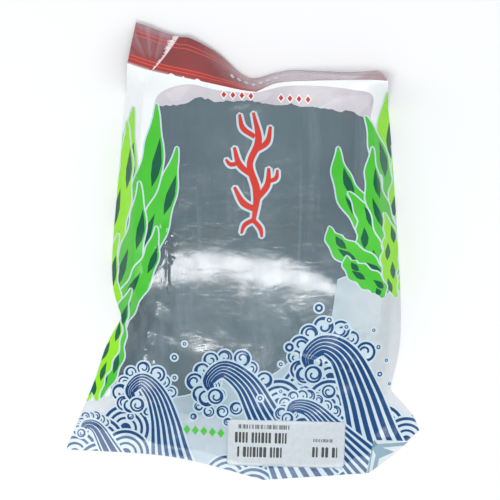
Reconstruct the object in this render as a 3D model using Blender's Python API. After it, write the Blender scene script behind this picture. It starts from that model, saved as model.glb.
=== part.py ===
"""A sealed clear bag of dried kelp sheets that lies on its back, with a sticker label on its front.

Metres, +Z up. +Y runs from the bottom seal to the header and +X across the front.
The origin is on the ground under the middle of the bag.
"""

import math

import bmesh
import bpy
from mathutils import Vector
from mathutils.bvhtree import BVHTree

MM = 0.001

# Driving dimensions, in metres.
BODY_DEPTH = 24.6 * MM
SEAL_THICKNESS = 1.0 * MM
HEADER_HEIGHT = 27.0 * MM
NECK_HEIGHT_LEFT = 16.5 * MM
NECK_HEIGHT_RIGHT = 25.2 * MM
GAP = 0.3 * MM
LABEL_WIDTH = 69.0 * MM
LABEL_HEIGHT = 27.5 * MM
LABEL_CORNER = 2.6 * MM
LABEL_THICKNESS = 0.4 * MM
LABEL_CENTRE = Vector((25.2 * MM, -113.0 * MM))
LABEL_TURN = math.radians(-1.5)

# The outline, in millimetres, as runs of smooth curve that meet at corners.
# Both sides go up from the bottom ears to the neck, where the header starts.
LEFT_SIDE = [
    [(-104.0, -116.5), (-88.0, -78.0), (-80.5, -56.0), (-71.5, -39.5)],
    [(-71.5, -39.5), (-77.0, -10.0), (-71.5, 62.0), (-67.2, 109.1)],
]
RIGHT_SIDE = [
    [(103.7, -105.5), (99.0, -95.5), (86.6, -81.5)],
    [(86.6, -81.5), (92.8, -42.0), (87.8, 54.0), (83.8, 98.2)],
]
BOTTOM_EDGE = [
    [(-104.0, -116.5), (-42.0, -121.0), (12.0, -134.5)],
    [(12.0, -134.5), (44.0, -132.5), (74.0, -130.5)],
    [(74.0, -130.5), (90.0, -118.5), (103.7, -105.5)],
]
NECK = [
    [(-67.2, 109.1), (-53.0, 104.6), (-27.0, 98.9), (-2.3, 93.3), (7.7, 91.9)],
    [(7.7, 91.9), (14.0, 94.9), (19.0, 96.8), (29.0, 98.0), (50.0, 98.6), (72.0, 98.8), (83.8, 98.2)],
]
HEADER_TOP = [
    [(-62.6, 134.0), (-39.6, 125.8), (-30.3, 124.1), (-14.7, 115.7), (-2.2, 105.0), (3.4, 101.6)],
    [(3.4, 101.6), (9.0, 101.6), (26.6, 105.9), (47.9, 105.4), (63.0, 104.8), (79.2, 105.9)],
]

# Where the body changes, as shares of the way up from the bottom edge to the neck.
# The bend drops between two places across the bag, so that it lies lower at the right side.
BOTTOM_SEAL_SHARE = 0.03
BEND_SHARE = 0.535
BEND_DROP_SHARE = 0.045
BEND_DROP_ACROSS = (0.62, 0.9)
BEND_ROUNDING = 0.09
NECK_START_SHARE = 0.925

# The folds beside the front panel, as shares of the way across from the left outline.
FOLD_SHARE_TOP = 0.075
FOLD_SHARE_BOTTOM = 0.17
FOLD_HEIGHT_SHARE = 0.86
PANEL_FLATNESS = 4

# The grid of the surface.
SIDE_COLUMNS = 4
FRONT_COLUMNS = 26
BODY_ROWS = 40
HEADER_ROWS = 5
CURVE_STEPS = 24
FACING_STEP = 0.01
LABEL_COLUMNS = 20
LABEL_ROWS = 8
LABEL_CORNER_ANGLES = (25, 50, 72, 90)
CREASE_ANGLE = math.radians(30)


def clear_scene():
    for item in list(bpy.data.objects):
        bpy.data.objects.remove(item, do_unlink=True)


def smoothstep(start, end, value):
    share = min(max((value - start) / (end - start), 0.0), 1.0)
    return share * share * (3.0 - 2.0 * share)


def soft_min(a, b, rounding):
    """The smaller of two values, with the change from one to the other rounded."""
    mix = max(rounding - abs(a - b), 0.0) / rounding
    return min(a, b) - mix * mix * rounding / 4.0


def run_points(run):
    """Points along one smooth run: a Catmull-Rom curve through the given points."""
    given = [Vector(point) * MM for point in run]
    first = given[0] * 2.0 - given[1]
    last = given[-1] * 2.0 - given[-2]
    ends = [first] + given + [last]
    points = []
    for before, start, end, after in zip(ends, ends[1:], ends[2:], ends[3:]):
        for step in range(CURVE_STEPS):
            t = step / CURVE_STEPS
            points.append(
                0.5
                * (
                    2.0 * start
                    + (end - before) * t
                    + (2.0 * before - 5.0 * start + 4.0 * end - after) * t**2
                    + (3.0 * start - before - 3.0 * end + after) * t**3
                )
            )
    points.append(given[-1])
    return points


class Curve:
    """A line of smooth runs, read by the share of its length."""

    def __init__(self, runs):
        self.points = []
        for run in runs:
            self.points += run_points(run)
        self.lengths = [0.0]
        for start, end in zip(self.points, self.points[1:]):
            self.lengths.append(self.lengths[-1] + (end - start).length)

    def at(self, share):
        wanted = share * self.lengths[-1]
        for index in range(len(self.points) - 1):
            if self.lengths[index + 1] >= wanted:
                break
        span = self.lengths[index + 1] - self.lengths[index]
        part = (wanted - self.lengths[index]) / span if span > 0.0 else 0.0
        return self.points[index].lerp(self.points[index + 1], min(part, 1.0))


LEFT = Curve(LEFT_SIDE)
RIGHT = Curve(RIGHT_SIDE)
BOTTOM = Curve(BOTTOM_EDGE)
NECK_LINE = Curve(NECK)
HEADER_LINE = Curve(HEADER_TOP)


def plan_point(across, up):
    """The place of a surface point seen from above, blended from the four edges of the body."""
    between_ends = BOTTOM.at(across).lerp(NECK_LINE.at(across), up)
    between_sides = LEFT.at(up).lerp(RIGHT.at(up), across)
    low = BOTTOM.at(0.0).lerp(BOTTOM.at(1.0), across)
    high = NECK_LINE.at(0.0).lerp(NECK_LINE.at(1.0), across)
    return between_ends + between_sides - low.lerp(high, up)


def neck_height(across):
    """Height of the seal's lower edge: level over the right half, lower at the left corner."""
    rise = smoothstep(0.0, 0.5, across)
    return NECK_HEIGHT_LEFT + (NECK_HEIGHT_RIGHT - NECK_HEIGHT_LEFT) * rise


def panel_share(across, up):
    """Depth across the bag: sloping side panels up to the folds, then a slightly domed front."""
    fold = FOLD_SHARE_BOTTOM + (FOLD_SHARE_TOP - FOLD_SHARE_BOTTOM) * smoothstep(0.0, BEND_SHARE, up)
    from_edge = min(across, 1.0 - across)
    if from_edge < fold:
        return FOLD_HEIGHT_SHARE * from_edge / fold
    off_middle = (0.5 - from_edge) / (0.5 - fold)
    return 1.0 - (1.0 - FOLD_HEIGHT_SHARE) * off_middle**PANEL_FLATNESS


def length_share(across, up):
    """Depth along the bag: a slope up from the bottom seal, a bend, then level up to the neck."""
    bend = BEND_SHARE - BEND_DROP_SHARE * smoothstep(*BEND_DROP_ACROSS, across)
    slope = (up - BOTTOM_SEAL_SHARE) / (bend - BOTTOM_SEAL_SHARE)
    risen = soft_min(max(slope, 0.0), 1.0, BEND_ROUNDING)
    return max(risen, 0.0) * (1.0 - smoothstep(NECK_START_SHARE, 1.0, up))


def body_points(across, up):
    """The front and back points of the body at one place."""
    plan = plan_point(across, up)
    lift = neck_height(across) * smoothstep(NECK_START_SHARE, 1.0, up)
    depth = SEAL_THICKNESS + BODY_DEPTH * panel_share(across, up) * length_share(across, up)
    return plan.to_3d() + Vector((0, 0, lift + depth)), plan.to_3d() + Vector((0, 0, lift))


def header_frame(across):
    """The middle of the header's lower edge, its top edge, and the direction that it faces."""
    low = NECK_LINE.at(across).to_3d()
    low.z = neck_height(across) + SEAL_THICKNESS / 2
    high = HEADER_LINE.at(across).to_3d()
    seen = (high.to_2d() - low.to_2d()).length
    high.z = low.z - math.sqrt(max(HEADER_HEIGHT**2 - seen**2, 0.0))
    along = NECK_LINE.at(min(across + FACING_STEP, 1.0)) - NECK_LINE.at(max(across - FACING_STEP, 0.0))
    facing = along.to_3d().cross(high - low).normalized()
    return low, high, facing


def header_points(across, share):
    """The front and back points of the header at one place."""
    low, high, facing = header_frame(across)
    middle = low.lerp(high, share)
    middle.z = max(middle.z, SEAL_THICKNESS)
    return middle + facing * SEAL_THICKNESS / 2, middle - facing * SEAL_THICKNESS / 2


def column_shares():
    """Shares across the bag, closer together over the two side panels."""
    side = [FOLD_SHARE_TOP * index / SIDE_COLUMNS for index in range(SIDE_COLUMNS)]
    front_width = 1.0 - 2.0 * FOLD_SHARE_TOP
    front = [FOLD_SHARE_TOP + front_width * index / FRONT_COLUMNS for index in range(FRONT_COLUMNS + 1)]
    return side + front + [1.0 - share for share in reversed(side)]


def surface_rows():
    """Rows of front and back points, from the bottom edge to the top of the header."""
    shares = column_shares()
    rows = [[body_points(across, row / BODY_ROWS) for across in shares] for row in range(BODY_ROWS + 1)]
    rows += [
        [header_points(across, row / HEADER_ROWS) for across in shares]
        for row in range(1, HEADER_ROWS + 1)
    ]
    return rows


def close_grids(bm, fronts, backs):
    """Faces over both grids, and a wall between their rims."""
    rows = len(fronts)
    columns = len(fronts[0])
    for row in range(rows - 1):
        for column in range(columns - 1):
            corners = [(row, column), (row, column + 1), (row + 1, column + 1), (row + 1, column)]
            bm.faces.new([fronts[r][c] for r, c in corners])
            bm.faces.new([backs[r][c] for r, c in reversed(corners)])
    rim = [(0, column) for column in range(columns)]
    rim += [(row, columns - 1) for row in range(1, rows)]
    rim += [(rows - 1, column) for column in range(columns - 2, -1, -1)]
    rim += [(row, 0) for row in range(rows - 2, 0, -1)]
    for (r0, c0), (r1, c1) in zip(rim, rim[1:] + rim[:1]):
        bm.faces.new((fronts[r0][c0], backs[r0][c0], backs[r1][c1], fronts[r1][c1]))


def make_object(name, bm, material):
    bmesh.ops.recalc_face_normals(bm, faces=bm.faces)
    mesh = bpy.data.meshes.new(name)
    bm.to_mesh(mesh)
    bm.free()
    mesh.shade_smooth()
    mesh.set_sharp_from_angle(angle=CREASE_ANGLE)
    mesh.materials.append(material)
    part = bpy.data.objects.new(name, mesh)
    bpy.context.scene.collection.objects.link(part)
    return part


def principled(name, colour, roughness, metallic):
    material = bpy.data.materials.new(name)
    material.use_nodes = True
    shader = material.node_tree.nodes["Principled BSDF"]
    shader.inputs["Base Color"].default_value = (*colour, 1.0)
    shader.inputs["Roughness"].default_value = roughness
    shader.inputs["Metallic"].default_value = metallic
    return material


def make_bag():
    """The filled bag, its seals and its header as one closed solid, flat where it lies."""
    bm = bmesh.new()
    rows = surface_rows()
    fronts = [[bm.verts.new(front) for front, _ in row] for row in rows]
    backs = [[bm.verts.new(back) for _, back in row] for row in rows]
    close_grids(bm, fronts, backs)
    return make_object("bag", bm, principled("film", (0.62, 0.68, 0.7), 0.2, 0.0))


def label_half_height(x):
    """Half the label's height at a distance from its middle, less where its corners are round."""
    into_corner = abs(x) - (LABEL_WIDTH / 2 - LABEL_CORNER)
    if into_corner <= 0.0:
        return LABEL_HEIGHT / 2
    return LABEL_HEIGHT / 2 - LABEL_CORNER + math.sqrt(max(LABEL_CORNER**2 - into_corner**2, 0.0))


def label_columns():
    """Distances from the label's middle, closer together round its corners."""
    straight = LABEL_WIDTH / 2 - LABEL_CORNER
    inner = [straight * (2.0 * index / LABEL_COLUMNS - 1.0) for index in range(LABEL_COLUMNS + 1)]
    corner = [straight + LABEL_CORNER * math.sin(math.radians(angle)) for angle in LABEL_CORNER_ANGLES]
    return [-x for x in reversed(corner)] + inner + corner


def make_label(bag):
    """The sticker, which follows the front film at a small gap."""
    surface = BVHTree.FromPolygons(
        [vertex.co.copy() for vertex in bag.data.vertices],
        [tuple(face.vertices) for face in bag.data.polygons],
    )
    cos = math.cos(LABEL_TURN)
    sin = math.sin(LABEL_TURN)
    bm = bmesh.new()
    fronts = []
    backs = []
    for row in range(LABEL_ROWS + 1):
        fronts.append([])
        backs.append([])
        for x in label_columns():
            y = label_half_height(x) * (2.0 * row / LABEL_ROWS - 1.0)
            place = LABEL_CENTRE + Vector((x * cos - y * sin, x * sin + y * cos))
            hit = surface.ray_cast(place.to_3d() + Vector((0, 0, 2 * BODY_DEPTH)), Vector((0, 0, -1)))[0]
            backs[-1].append(bm.verts.new(hit + Vector((0, 0, GAP))))
            fronts[-1].append(bm.verts.new(hit + Vector((0, 0, GAP + LABEL_THICKNESS))))
    close_grids(bm, fronts, backs)
    return make_object("label", bm, principled("paper", (0.9, 0.9, 0.9), 0.45, 0.0))


def main():
    clear_scene()
    make_label(make_bag())


main()
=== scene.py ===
import math

import bpy
import numpy as np
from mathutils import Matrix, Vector
from mathutils.geometry import delaunay_2d_cdt


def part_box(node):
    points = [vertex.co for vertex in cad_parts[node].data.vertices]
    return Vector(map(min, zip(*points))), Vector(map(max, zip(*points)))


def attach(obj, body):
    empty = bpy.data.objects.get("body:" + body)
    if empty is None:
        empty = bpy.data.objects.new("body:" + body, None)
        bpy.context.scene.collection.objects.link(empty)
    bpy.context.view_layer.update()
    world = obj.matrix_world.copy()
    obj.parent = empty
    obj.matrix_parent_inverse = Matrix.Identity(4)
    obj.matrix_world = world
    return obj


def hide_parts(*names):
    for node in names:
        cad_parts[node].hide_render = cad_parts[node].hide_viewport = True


# Looks of a sealed clear pouch of dried kelp sheets that lies on its back: printed film, kelp, sticker.
# Metres, +Z up, +X across the front, +Y from the bottom seal to the header.

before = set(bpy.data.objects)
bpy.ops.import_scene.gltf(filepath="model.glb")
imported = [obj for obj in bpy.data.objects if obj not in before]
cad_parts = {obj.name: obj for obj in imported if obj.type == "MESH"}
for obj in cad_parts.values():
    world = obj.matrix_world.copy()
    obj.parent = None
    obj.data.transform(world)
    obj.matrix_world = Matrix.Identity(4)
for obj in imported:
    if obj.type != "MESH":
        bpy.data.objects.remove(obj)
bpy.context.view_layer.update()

MM = 0.001
SEED = 7

# ---------------------------------------------------------------- the pouch's own shape

bag_low, bag_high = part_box("bag")
label_low, label_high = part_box("label")

BODY_DEPTH = (bag_high.z - bag_low.z) - 1.6 * MM
FILM = 0.3 * MM
BACK_LIFT = 0.1 * MM
HEADER_HEIGHT = 27.0 * MM
NECK_HEIGHT_LEFT = 16.5 * MM
NECK_HEIGHT_RIGHT = 25.2 * MM

# The outline, in millimetres, as runs of smooth curve that meet at corners.
LEFT_SIDE = [
    [(-104.0, -116.5), (-88.0, -78.0), (-80.5, -56.0), (-71.5, -39.5)],
    [(-71.5, -39.5), (-77.0, -10.0), (-71.5, 62.0), (-67.2, 109.1)],
]
RIGHT_SIDE = [
    [(103.7, -105.5), (99.0, -95.5), (86.6, -81.5)],
    [(86.6, -81.5), (92.8, -42.0), (87.8, 54.0), (83.8, 98.2)],
]
BOTTOM_EDGE = [
    [(-104.0, -116.5), (-42.0, -121.0), (12.0, -134.5)],
    [(12.0, -134.5), (44.0, -132.5), (74.0, -130.5)],
    [(74.0, -130.5), (90.0, -118.5), (103.7, -105.5)],
]
NECK = [
    [(-67.2, 109.1), (-53.0, 104.6), (-27.0, 98.9), (-2.3, 93.3), (7.7, 91.9)],
    [(7.7, 91.9), (14.0, 94.9), (19.0, 96.8), (29.0, 98.0), (50.0, 98.6), (72.0, 98.8), (83.8, 98.2)],
]
HEADER_TOP = [
    [(-62.6, 134.0), (-39.6, 125.8), (-30.3, 124.1), (-14.7, 115.7), (-2.2, 105.0), (3.4, 101.6)],
    [(3.4, 101.6), (9.0, 101.6), (26.6, 105.9), (47.9, 105.4), (63.0, 104.8), (79.2, 105.9)],
]

# Where the body changes, as shares of the way up from the bottom edge to the neck.
BOTTOM_SEAL_UP = 0.03
BEND_UP = 0.535
BEND_LINE = [(0.0, 0.49), (0.134, 0.49), (0.2, 0.506), (0.3, 0.527), (0.4, 0.545), (0.5, 0.552), (0.6, 0.537),
             (0.69, 0.515), (0.76, 0.487), (0.85, 0.455), (1.0, 0.42)]
BEND_ROUNDING_LEFT = 0.12
BEND_ROUNDING_RIGHT = 0.06
NECK_START_UP = 0.925
# The header goes on above the neck, from 1 to this value.
HEADER_END_UP = 1.11

# The folds beside the front panel, as shares of the way across.
FOLD_TOP = 0.075
FOLD_BOTTOM = 0.17
FOLD_HEIGHT = 0.86
PANEL_FLATNESS = 4

# The film laid flat, in millimetres: the field that its print and its mesh are drawn on.
FLAT_WIDTH = 165.0
FLAT_LENGTH = 224.0


def smoothstep(start, end, value):
    share = np.clip((value - start) / (end - start), 0.0, 1.0)
    return share * share * (3.0 - 2.0 * share)


def soft_min(a, b, rounding):
    mix = np.maximum(rounding - np.abs(a - b), 0.0) / rounding
    return np.minimum(a, b) - mix * mix * rounding / 4.0


def smooth_line(points, steps=16):
    """A Catmull-Rom curve through the given points, as an array of places."""
    given = np.array(points, float)
    ends = np.vstack([2 * given[0] - given[1], given, 2 * given[-1] - given[-2]])
    t = (np.arange(steps) / steps)[:, None]
    line = []
    for before, start, end, after in zip(ends, ends[1:], ends[2:], ends[3:]):
        line.append(
            0.5
            * (
                2 * start
                + (end - before) * t
                + (2 * before - 5 * start + 4 * end - after) * t**2
                + (3 * start - before - 3 * end + after) * t**3
            )
        )
    return np.vstack(line + [given[-1:]])


class Curve:
    """A line of smooth runs, read by the share of its length, and held at its end points beyond its ends."""

    def __init__(self, runs):
        points = np.vstack([smooth_line(run, 40) for run in runs]) * MM
        steps = np.linalg.norm(np.diff(points, axis=0), axis=1)
        keep = np.concatenate([[True], steps > 1e-9])
        self.points = points[keep]
        lengths = np.concatenate([[0.0], np.cumsum(np.linalg.norm(np.diff(self.points, axis=0), axis=1))])
        self.shares = lengths / lengths[-1]

    def at(self, share):
        share = np.asarray(share, float)
        x = np.interp(share, self.shares, self.points[:, 0])
        y = np.interp(share, self.shares, self.points[:, 1])
        return np.stack([x, y], -1)


LEFT = Curve(LEFT_SIDE)
RIGHT = Curve(RIGHT_SIDE)
BOTTOM = Curve(BOTTOM_EDGE)
NECK_LINE = Curve(NECK)
HEADER_LINE = Curve(HEADER_TOP)
BEND = smooth_line(BEND_LINE)


def plan(across, up):
    """The place of a surface point seen from above, blended from the four edges of the body."""
    a = np.asarray(across)[..., None]
    b = np.asarray(up)[..., None]
    between_ends = BOTTOM.at(across) * (1 - b) + NECK_LINE.at(across) * b
    between_sides = LEFT.at(up) * (1 - a) + RIGHT.at(up) * a
    low = BOTTOM.at(0.0) * (1 - a) + BOTTOM.at(1.0) * a
    high = NECK_LINE.at(0.0) * (1 - a) + NECK_LINE.at(1.0) * a
    return between_ends + between_sides - (low * (1 - b) + high * b)


def locate(x, y):
    """The shares across and up of places seen from above: Newton's method on plan()."""
    across = np.clip((x + 0.075) / 0.165, 0.02, 0.98)
    up = np.clip((y + 0.125) / 0.225, 0.02, 0.98)
    step = 1e-4
    for _ in range(14):
        a = np.minimum(across, 1 - step)
        b = np.minimum(up, 1 - step)
        here = plan(a, b)
        da = (plan(a + step, b) - here) / step
        db = (plan(a, b + step) - here) / step
        miss = np.stack([x, y], -1) - here
        det = da[..., 0] * db[..., 1] - da[..., 1] * db[..., 0]
        across = np.clip(a + (miss[..., 0] * db[..., 1] - miss[..., 1] * db[..., 0]) / det, 0, 1)
        up = np.clip(b + (da[..., 0] * miss[..., 1] - da[..., 1] * miss[..., 0]) / det, 0, 1)
    return across, up


def neck_height(across):
    return NECK_HEIGHT_LEFT + (NECK_HEIGHT_RIGHT - NECK_HEIGHT_LEFT) * smoothstep(0.0, 0.5, across)


def panel_share(across, up):
    """Depth across the pouch: sloping side panels up to the folds, then a slightly domed front."""
    fold = FOLD_BOTTOM + (FOLD_TOP - FOLD_BOTTOM) * smoothstep(0.0, BEND_UP, up)
    from_edge = np.minimum(across, 1 - across)
    off_middle = np.clip((0.5 - from_edge) / (0.5 - fold), 0, 1)
    front = 1 - (1 - FOLD_HEIGHT) * off_middle**PANEL_FLATNESS
    return np.where(from_edge < fold, FOLD_HEIGHT * from_edge / fold, front)


def length_share(up, across=0.5):
    """Depth along the pouch: a slope up from the bottom seal, a bend, then level up to the neck."""
    bend = np.interp(across, BEND[:, 0], BEND[:, 1])
    slope = np.maximum((up - BOTTOM_SEAL_UP) / (bend - BOTTOM_SEAL_UP), 0.0)
    rounding = BEND_ROUNDING_LEFT + (BEND_ROUNDING_RIGHT - BEND_ROUNDING_LEFT) * smoothstep(0.45, 0.8, across)
    risen = np.maximum(soft_min(slope, 1.0, rounding), 0.0)
    return risen * (1 - smoothstep(NECK_START_UP, 1.0, up))


# ---------------------------------------------------------------- wrinkles of the film

# Sharp creases: start, end, height and half width, in millimetres. Negative is a valley.
CREASES = [
    ((-43, 16), (-44.5, -30), -0.6, 1.8),
    ((-57, 18), (-58, -34), -1.1, 13.0),
    ((-46, -4), (-66, -40), 0.7, 6.0),
    ((-66, -33), (-38, -43), 0.8, 9.0),
    ((-46, -26), (-62, -62), 0.5, 6.0),
    ((-73, -40), (-36, -52), -0.9, 8.0),
    ((-73, -40), (-50, -12), 0.8, 8.0),
    ((-60, -66), (-70, -92), 0.8, 6.0),
    ((87, -82), (48, -72), -0.9, 8.0),
    ((87, -82), (56, -104), 0.8, 8.0),
    ((24, -58), (66, -72), 0.9, 2.6),
    ((60, -69), (88, -85), 0.7, 3.5),
    ((74, -111), (106, -107), 0.9, 7.0),
    ((8, 92), (-10, 81), 0.3, 5.0),
    ((-46, 94), (-31, 86), 0.3, 3.0),
    ((50, 86), (66, 97), 0.25, 3.0),
    ((-66, 104), (-60, 84), 0.6, 5.0),
    ((84, 96), (74, 76), 0.7, 5.0),
    ((-61, 96), (-69, -24), 0.5, 3.5),
    ((-72, 60), (-74, -34), -0.4, 3.0),
    ((79, 90), (84, -40), 0.5, 3.5),
    ((30, -34), (34, -62), -0.5, 4.0),
    ((2, -14), (-4, -56), 0.35, 5.0),
    ((58, -30), (46, -60), 0.4, 6.0),
    ((-62, -30), (-52, -62), 0.5, 5.0),
]
# Soft bulges and dents: place, height and radius, in millimetres.
BULGES = [
    ((36, -40), 0.8, 15.0),
    ((-58, -80), 0.8, 10.0),
    ((-5, -70), 0.5, 18.0),
    ((-30, -95), -0.7, 14.0),
    ((52, -112), 0.6, 16.0),
]
# Patches of fine sharp crinkles: middle, reach across and up, number, and height.
CRINKLES = [
    ((-6, -66), 11, 4, 22, 0.5),
    ((64, -56), 7, 10, 30, 0.8),
    ((-56, -62), 7, 4, 10, 0.4),
    ((-44, 0), 2.5, 14, 16, 0.4),
    ((-66, -42), 8, 8, 8, 0.3),
]
LOWEST_WRINKLE = -1.1
TAPER = 0.42
TAUT = 0.22


def tent(x, y, start, end, half_width):
    """1 along a line between two places, falling straight to 0 at half_width, and tapering to its ends."""
    (x0, y0), (x1, y1) = start, end
    dx = x1 - x0
    dy = y1 - y0
    length = math.hypot(dx, dy)
    along = ((x - x0) * dx + (y - y0) * dy) / length
    off = np.abs((x - x0) * dy - (y - y0) * dx) / length
    ends = smoothstep(0.0, TAPER * length, np.minimum(along, length - along))
    return np.clip(1 - off / (half_width * (0.4 + 0.6 * ends)), 0, 1) * ends


def loose_creases(count=70):
    """Small random creases, most of them over the slack lower half of the film."""
    draw = np.random.default_rng(SEED)
    creases = []
    for _ in range(count):
        slack = draw.random() < 0.8
        x = draw.uniform(-85, 85)
        y = draw.uniform(-118, -58) if slack else draw.uniform(0, 90)
        turn = draw.normal(1.5, 0.6)
        length = draw.uniform(14, 36)
        size = draw.uniform(0.1, 0.35) if slack else draw.uniform(0.03, 0.1)
        height = size * draw.choice([-1, 1])
        width = draw.uniform(3.5, 8.0)
        end = (x + length * math.cos(turn), y + length * math.sin(turn))
        creases.append(((x, y), end, height, width))
    return creases


def crinkles():
    """Short sharp creases, thrown at random over each patch."""
    draw = np.random.default_rng(SEED + 7)
    creases = []
    for (x, y), across, high, count, size in CRINKLES:
        for _ in range(count):
            start = (x + across * draw.normal(0, 0.6), y + high * draw.normal(0, 0.6))
            turn = draw.uniform(0, math.pi)
            length = draw.uniform(3, 8)
            end = (start[0] + length * math.cos(turn), start[1] + length * math.sin(turn))
            creases.append((start, end, size * draw.choice([-1, 1]), draw.uniform(1.4, 2.4)))
    return creases


def plane_waves(seed, count, shortest, longest, steepness):
    """Straight waves: each is its direction over its length, a phase and a height, in millimetres."""
    draw = np.random.default_rng(seed)
    waves = []
    for _ in range(count):
        length = draw.uniform(shortest, longest)
        turn = draw.uniform(0, math.pi)
        size = steepness * length
        waves.append((math.cos(turn) / length, math.sin(turn) / length, draw.uniform(0, 6.28), size))
    return waves


LOOSE_CREASES = loose_creases() + crinkles()
SOFT_WAVES = plane_waves(SEED + 1, 12, 30, 80, 0.0028)
FACET_WAVES = plane_waves(SEED + 2, 14, 16, 55, 0.0036)


def wrinkles(x, y):
    """Height of the film above its smooth shape, in metres, at places in metres."""
    x = x / MM
    y = y / MM
    height = np.zeros_like(x)
    for start, end, size, half_width in CREASES + LOOSE_CREASES:
        height += size * tent(x, y, start, end, half_width)
    for (cx, cy), size, radius in BULGES:
        height += size * np.exp(-((x - cx) ** 2 + (y - cy) ** 2) / radius**2)
    slack = TAUT + (1 - TAUT) * smoothstep(-32, -62, y)
    for across, along, phase, size in SOFT_WAVES:
        height += slack * size * np.sin(2 * math.pi * (across * x + along * y) + phase)
    for across, along, phase, size in FACET_WAVES:
        turn = 2 * math.pi * (across * x + along * y) + phase
        height += slack * size * 2 / math.pi * np.arcsin(np.sin(turn))
    return np.maximum(height, LOWEST_WRINKLE) * MM


def under_label(x, y):
    """1 where the sticker holds the film flat, 0 away from it."""
    middle_x = (label_low.x + label_high.x) / 2
    middle_y = (label_low.y + label_high.y) / 2
    half_x = (label_high.x - label_low.x) / 2
    half_y = (label_high.y - label_low.y) / 2
    off = np.maximum(np.abs(x - middle_x) - half_x, np.abs(y - middle_y) - half_y)
    return 1 - smoothstep(0.0, 6 * MM, off)


def body_surface(across, up, front):
    """Places on the front or the back film of the body."""
    xy = plan(across, up)
    lift = neck_height(across) * smoothstep(NECK_START_UP, 1.0, up)
    if not front:
        return np.concatenate([xy, (lift + BACK_LIFT)[..., None]], -1)
    depth = BODY_DEPTH * panel_share(across, up) * length_share(up, across)
    edge = np.minimum(np.minimum(across, 1 - across) / 0.06, np.minimum(up, 1 - up) / 0.04)
    loose = smoothstep(0.0, 1.0, edge) * (1 - under_label(xy[..., 0], xy[..., 1]))
    z = lift + FILM + depth + wrinkles(xy[..., 0], xy[..., 1]) * loose
    return np.concatenate([xy, np.maximum(z, FILM)[..., None]], -1)


# The crease in the header's left end: the place of its foot, and how far it leans, as shares of the way across.
PLEAT_ACROSS = 0.095
PLEAT_LEAN = 0.075


def pleat_bow(share):
    """How far the crease has leant at each height: it rises steeper towards its top."""
    return share**0.75


def header_surface(across, up, front):
    """Places on the front or the back of the header, a flat strip that twists from left to right."""
    share = (up - 1) / (HEADER_END_UP - 1)
    low = NECK_LINE.at(across)
    high = HEADER_LINE.at(across)
    seen = np.linalg.norm(high - low, axis=-1)
    low_z = neck_height(across) + FILM / 2
    high_z = low_z - np.sqrt(np.maximum(HEADER_HEIGHT**2 - seen**2, 0))
    low = np.concatenate([low, low_z[..., None]], -1)
    high = np.concatenate([high, high_z[..., None]], -1)
    step = 0.01
    along = NECK_LINE.at(np.minimum(across + step, 1)) - NECK_LINE.at(np.maximum(across - step, 0))
    along = np.concatenate([along, np.zeros_like(along[..., :1])], -1)
    facing = np.cross(along, high - low)
    facing /= np.linalg.norm(facing, axis=-1)[..., None]
    off = across - PLEAT_ACROSS - PLEAT_LEAN * pleat_bow(share)
    crease = np.clip(1 - np.abs(off) / (0.01 + 0.02 * share), 0, 1)
    from_pleat = np.hypot((across - PLEAT_ACROSS) * 165, share * 25)
    fan = np.sin(11 * np.arctan2(share * 25, (across - PLEAT_ACROSS) * 165)) * from_pleat / 25
    fan = fan * smoothstep(0.2, 0.08, across)
    ripple = 0.3 * np.sin(17 * across + 4 * share) + 0.12 * np.sin(53 * across - 3 * share)
    bulge = (0.5 * crease * (1 - 0.6 * share) + 0.35 * fan + ripple * (1 - 0.7 * share) + 0.6 * np.sin(math.pi * share)) * MM
    bulge = bulge * smoothstep(0.0, 0.12, share)
    offset = (FILM / 2 if front else -FILM / 2) + bulge
    place = low + (high - low) * share[..., None] + facing * offset[..., None]
    place[..., 2] = np.maximum(place[..., 2], 0.5 * MM)
    return place


def surface(across, up, front=True):
    """Places on one film of the whole pouch, from the bottom edge at 0 to the header's top."""
    body = body_surface(np.clip(across, 0, 1), np.clip(up, 0, 1), front)
    header = header_surface(np.clip(across, 0, 1), np.clip(up, 1, HEADER_END_UP), front)
    return np.where((up > 1)[..., None], header, body)


def surface_normals(across, up, front=True):
    """Normals of the film from its own shape, so that the cuts of its mesh don't show."""
    step = 0.0016
    lowest = np.where(up > 1, 1 + 1e-6, 0.0)
    highest = np.where(up > 1, HEADER_END_UP, 1.0)
    a0 = np.maximum(across - step, 0)
    a1 = np.minimum(across + step, 1)
    b0 = np.maximum(up - step, lowest)
    b1 = np.minimum(up + step, highest)
    da = surface(a1, up, front) - surface(a0, up, front)
    db = surface(across, b1, front) - surface(across, b0, front)
    normal = np.cross(da, db)
    normal /= np.linalg.norm(normal, axis=-1)[..., None]
    return normal if front else -normal


# ---------------------------------------------------------------- drawing the print

# Shapes are polygons in millimetres, as seen from above; a later shape covers an earlier one.


def ribbon(points, widths, ruffle=0.0, waves=0.0, grow=0.0, steps=14):
    """A blade along a smooth line, its width given at even steps, with wavy edges."""
    line = smooth_line(points, steps)
    share = np.linspace(0, 1, len(line))
    half = np.interp(share, np.linspace(0, 1, len(widths)), widths) / 2
    tangent = np.gradient(line, axis=0)
    tangent /= np.linalg.norm(tangent, axis=1)[:, None]
    side = np.stack([-tangent[:, 1], tangent[:, 0]], -1)
    taper = np.sin(math.pi * np.clip(share, 0, 1)) ** 0.5
    wave = ruffle * taper
    left = half + wave * np.sin(2 * math.pi * waves * share) + grow
    right = half + wave * np.sin(2 * math.pi * waves * share + 2.1) + grow
    start = line[:1] - tangent[:1] * grow
    end = line[-1:] + tangent[-1:] * grow
    return np.vstack([start, line + side * left[:, None], end, (line - side * right[:, None])[::-1]])


def disc(x, y, radius, count=28):
    turn = np.arange(count) * 2 * math.pi / count
    return np.stack([x + radius * np.cos(turn), y + radius * np.sin(turn)], -1)


OUTLINE = 0.9

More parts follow.
